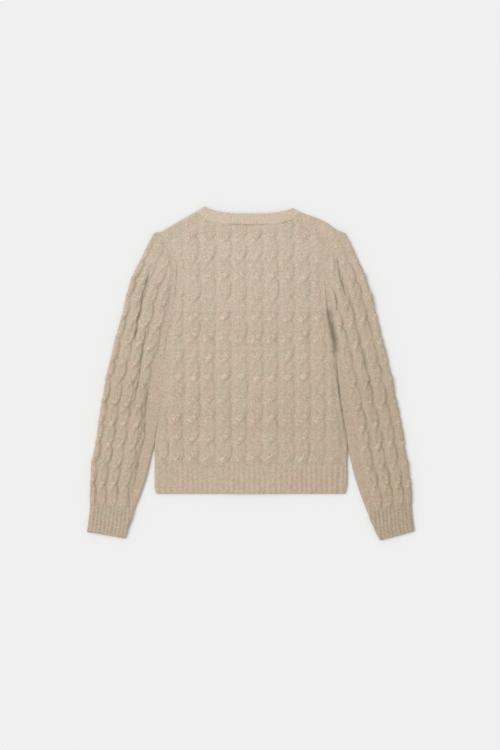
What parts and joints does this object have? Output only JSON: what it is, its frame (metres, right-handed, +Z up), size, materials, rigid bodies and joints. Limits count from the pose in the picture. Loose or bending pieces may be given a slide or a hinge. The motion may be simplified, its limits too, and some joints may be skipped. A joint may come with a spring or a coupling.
{
  "type": "cable knit cardigan",
  "caption": "Long-sleeved round-neck cardigan in rope cable knit with ribbed hem, cuffs and bands, laid flat on its front with its back up.",
  "frame": {"origin": "middle of the garment's outline in plan, on the surface that it lies on", "axes": "+Z up, out of the wearer's back; +Y towards the neck; +X towards the wearer's right"},
  "size_m": [0.6564, 0.6672, 0.0139],
  "materials": {
    "cable_knit": "matte marled yarn in rope cables",
    "ribbed_knit": "matte marled yarn in ribs",
    "button": "satin"
  },
  "bodies": {
    "root": {"back": "cable_knit", "front_left": "cable_knit", "front_right": "cable_knit", "sleeve_left": "cable_knit", "sleeve_right": "cable_knit", "back_hem": "ribbed_knit", "front_hem_left": "ribbed_knit", "front_hem_right": "ribbed_knit", "cuff_left": "ribbed_knit", "cuff_right": "ribbed_knit", "neckband": "ribbed_knit", "button_band": "ribbed_knit", "buttonhole_band": "ribbed_knit", "button_1": "button", "button_2": "button", "button_3": "button", "button_4": "button", "button_5": "button", "button_6": "button", "button_7": "button"}
  },
  "joints": []
}
